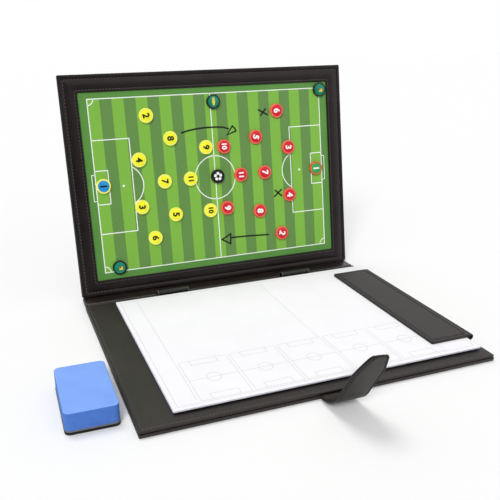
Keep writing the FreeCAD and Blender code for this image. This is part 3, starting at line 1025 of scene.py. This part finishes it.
strap_shape = loft([strap_section(station) for station in strap_line])
strap = make_piece(
    "closing_strap", strap_shape, supple_leatherette, None,
    stands_for=["strap_root", "strap_tongue"]
)

# The stitches start past the front seam, run up both edges and cross over before the rounded tip
strap_rows = []
for face_side in (-1.0, 1.0):
    for edge in (-1.0, 1.0):
        strap_rows.append([strap_stitch(station, edge, face_side) for station in strap_line[3:-5]])
    strap_rows.append([strap_stitch(strap_line[-6], edge, face_side) for edge in (-1.0, 1.0)])
strap_stitches = make_piece("strap_stitches", stitches(strap_rows), black_thread, None)
bend_reach = rise_along * 6.0
start = (bend - bend_reach) * to_metres
for piece in (strap, strap_stitches):
    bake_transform(piece)

# Eraser: a block of cut foam on a thin grey sheet and a felt pad
foam_low, foam_high = box_mm("eraser_foam")
felt_top = box_mm("eraser_felt")[1].z
eraser_turn = math.radians(-1.0)
eraser_middle = 0.5 * (foam_low + foam_high)
on_eraser = Matrix.Translation((eraser_middle.x, eraser_middle.y, 0.0))
on_eraser = on_eraser @ Matrix.Rotation(eraser_turn, 4, "Z")
half_eraser_x = 21.6
half_eraser_y = 34.75
foam_corner = 4.5
foam_edge = 0.6
crown = 0.1
crown_rings = 10
crown_step = 1.5


def eraser_panel(grow, profile, least_corner=0.3):
    # A layer of the eraser, larger than the foam by grow on each side.
    return panel(
        -half_eraser_x - grow, half_eraser_x + grow, -half_eraser_y - grow, half_eraser_y + grow,
        foam_corner + grow, profile, least_corner
    )


foam_profile = side_profile(foam_low.z, foam_high.z - crown, 0.3, foam_edge)
# The sides take the painted shade and the top the painted light.
shaded_side_levels = 7
for step in range(1, crown_rings + 1):
    lift = crown * math.sin(math.radians(90.0 * step / crown_rings))
    foam_profile.append((foam_edge + crown_step * step, foam_high.z - crown + lift))
foam_shape = eraser_panel(0.0, foam_profile, least_corner=1.5)
shaded_side_faces = shaded_side_levels * (len(foam_shape[0]) // len(foam_profile))
foam_indices = [1] * shaded_side_faces + [0] * (len(foam_shape[1]) - shaded_side_faces)
foam = make_piece(
    "eraser_block", foam_shape, ([foam_lit_top, foam_shaded_sides], foam_indices), "eraser", on_eraser,
    stands_for=["eraser_foam"]
)
grey_layer = make_piece(
    "eraser_grey_layer", eraser_panel(0.1, side_profile(felt_top, foam_low.z, 0.2, 0.2)), grey_foam,
    "eraser", on_eraser, stands_for=["eraser_backing"]
)
felt_shape = eraser_panel(0.3, side_profile(0.0, felt_top, 0.3, 0.3))
make_piece("eraser_felt_pad", felt_shape, felt, "eraser", on_eraser, stands_for=["eraser_felt"])

# Solids that keep their own shape get their real finish
for node, finish in (
    ("base_board", greyboard), ("spine_board", greyboard), ("cover_board", greyboard),
    ("clip_stiffener", greyboard), ("catch_plate", zinc_sheet), ("steel_sheet", zinc_sheet),
    ("pitch_panel", pitch_film), ("strap_magnet", ferrite),
):
    nodes[node].data.materials.clear()
    nodes[node].data.materials.append(finish)

# Floor: matt white card on a table that ends in front, so pale that it shows nearly white under its shadows
floor_material = bpy.data.materials.new("matt_white_card")
floor_material.use_nodes = True
floor_tree = floor_material.node_tree
floor_tree.nodes.clear()
floor_matt = add_node(floor_tree, "ShaderNodeBsdfDiffuse", {}, {"Color": lin("#F8F8F8")})
add_node(floor_tree, "ShaderNodeOutputMaterial", {}, {"Surface": floor_matt.outputs[0]})
floor_reach = 4.0
floor_front = -0.45
floor_z = -0.0004
floor_points, floor_faces = patch(rectangle(-floor_reach, floor_reach, floor_front, floor_reach), floor_z)
floor_mesh = bpy.data.meshes.new("floor")
floor_mesh.from_pydata(floor_points, [], floor_faces)
floor_mesh.materials.append(floor_material)
floor = add_object("floor", floor_mesh)

# Room: white to the eye. For reflections it is a white sweep above, behind and to the right over a dark
# studio in front, and for its own light on things an even fill.
sweep_way = (0.42, 0.25, 0.82)
sweep_start = 0.05
sweep_full = 0.22
room_fill = 0.40
world = bpy.data.worlds.new("white_sweep_and_dim_studio")
bpy.context.scene.world = world
world.use_nodes = True
room = world.node_tree
room.nodes.clear()
room_path = add_node(room, "ShaderNodeLightPath")
room_way = add_node(room, "ShaderNodeTexCoord").outputs["Generated"]
room_back = add_node(room, "ShaderNodeVectorMath", {"operation": "DOT_PRODUCT"}, {0: room_way, 1: sweep_way})
room_tone = add_node(room, "ShaderNodeMapRange", {}, {
    "Value": room_back.outputs["Value"], "From Min": sweep_start, "From Max": sweep_full,
    "To Min": 0.0, "To Max": 1.0
})
room_lit = add_node(room, "ShaderNodeMix", {"data_type": "FLOAT"}, {
    0: room_path.outputs["Is Glossy Ray"], 2: room_fill, 3: room_tone.outputs["Result"]
})
room_seen = add_node(room, maths, {"operation": "MAXIMUM"}, {
    0: room_path.outputs["Is Camera Ray"], 1: room_path.outputs["Is Transmission Ray"]
})
room_level = add_node(room, maths, {"operation": "MAXIMUM"}, {
    0: room_lit.outputs[0], 1: room_seen.outputs[0]
})
room_light = add_node(room, "ShaderNodeBackground", {}, {
    "Color": (1.0, 1.0, 1.0, 1.0), "Strength": room_level.outputs[0]
})
add_node(room, "ShaderNodeOutputWorld", {}, {"Surface": room_light.outputs[0]})


def soft_sun(name, way, spread, share, mirrored):
    # A large even lamp far off in one direction. A share of 1 lights a facing white surface to white.
    # One that isn't mirrored stands behind a screen that keeps its glare off glossy faces.
    lamp = bpy.data.lights.new(name, "SUN")
    lamp.angle = math.radians(spread)
    lamp.energy = share * math.pi
    holder = add_object(name, lamp)
    holder.rotation_euler = Vector(way).to_track_quat("Z", "Y").to_euler()
    holder.visible_glossy = mirrored


soft_sun("overhead_lamp", way=(-0.12, 0.30, 0.95), spread=24.0, share=0.29, mirrored=True)
soft_sun("front_lamp", way=(-0.45, -0.62, 0.64), spread=24.0, share=0.60, mirrored=False)
